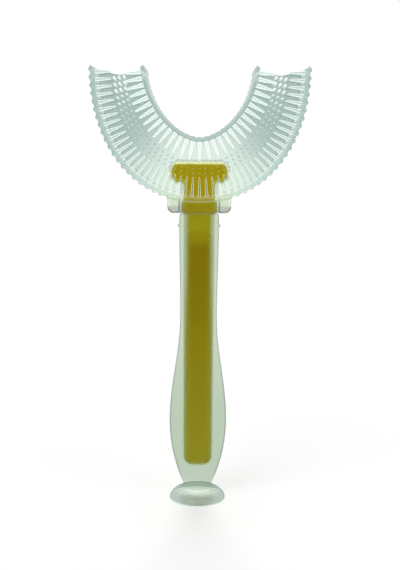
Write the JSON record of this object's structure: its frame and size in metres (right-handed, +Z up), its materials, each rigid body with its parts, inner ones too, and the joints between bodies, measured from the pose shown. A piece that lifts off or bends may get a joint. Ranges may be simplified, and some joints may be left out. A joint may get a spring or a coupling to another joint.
{
  "type": "u-shaped toothbrush",
  "caption": "U-shaped silicone toothbrush head with bristle-lined tooth channels, pulled onto a flat tongue, on a silicone grip with a suction foot.",
  "frame": {"origin": "middle of the suction foot's rim, on the surface that the toothbrush stands on", "axes": "+Z up the handle towards the brush head's open arms; the head's web lies in the plane y = 0; +X towards one arm"},
  "size_m": [0.0594, 0.024, 0.1242],
  "materials": {
    "core_plastic": "semi-gloss, slightly translucent",
    "grip_silicone": "frosted, translucent",
    "head_silicone": "clear, wet-looking"
  },
  "bodies": {
    "handle": {"handle_core": "core_plastic", "grip_sleeve": "grip_silicone"},
    "brush_head": {"brush_tray": "head_silicone", "upper_outer_bristles_1": "head_silicone", "upper_outer_bristles_2": "head_silicone", "upper_outer_bristles_3": "head_silicone", "upper_outer_bristles_4": "head_silicone", "upper_outer_bristles_5": "head_silicone", "upper_inner_bristles_1": "head_silicone", "upper_inner_bristles_2": "head_silicone", "upper_inner_bristles_3": "head_silicone", "upper_inner_bristles_4": "head_silicone", "upper_inner_bristles_5": "head_silicone", "upper_floor_bristles_1": "head_silicone", "upper_floor_bristles_2": "head_silicone", "upper_floor_bristles_3": "head_silicone", "upper_floor_bristles_4": "head_silicone", "upper_floor_bristles_5": "head_silicone", "lower_outer_bristles_1": "head_silicone", "lower_outer_bristles_2": "head_silicone", "lower_outer_bristles_3": "head_silicone", "lower_outer_bristles_4": "head_silicone", "lower_outer_bristles_5": "head_silicone", "lower_inner_bristles_1": "head_silicone", "lower_inner_bristles_2": "head_silicone", "lower_inner_bristles_3": "head_silicone", "lower_inner_bristles_4": "head_silicone", "lower_inner_bristles_5": "head_silicone", "lower_floor_bristles_1": "head_silicone", "lower_floor_bristles_2": "head_silicone", "lower_floor_bristles_3": "head_silicone", "lower_floor_bristles_4": "head_silicone", "lower_floor_bristles_5": "head_silicone"}
  },
  "joints": [
    {"name": "head_pull_off", "type": "slide", "parent": "handle", "child": "brush_head", "axis": [0, 0, 1], "range_m": [0, 0.02]}
  ]
}
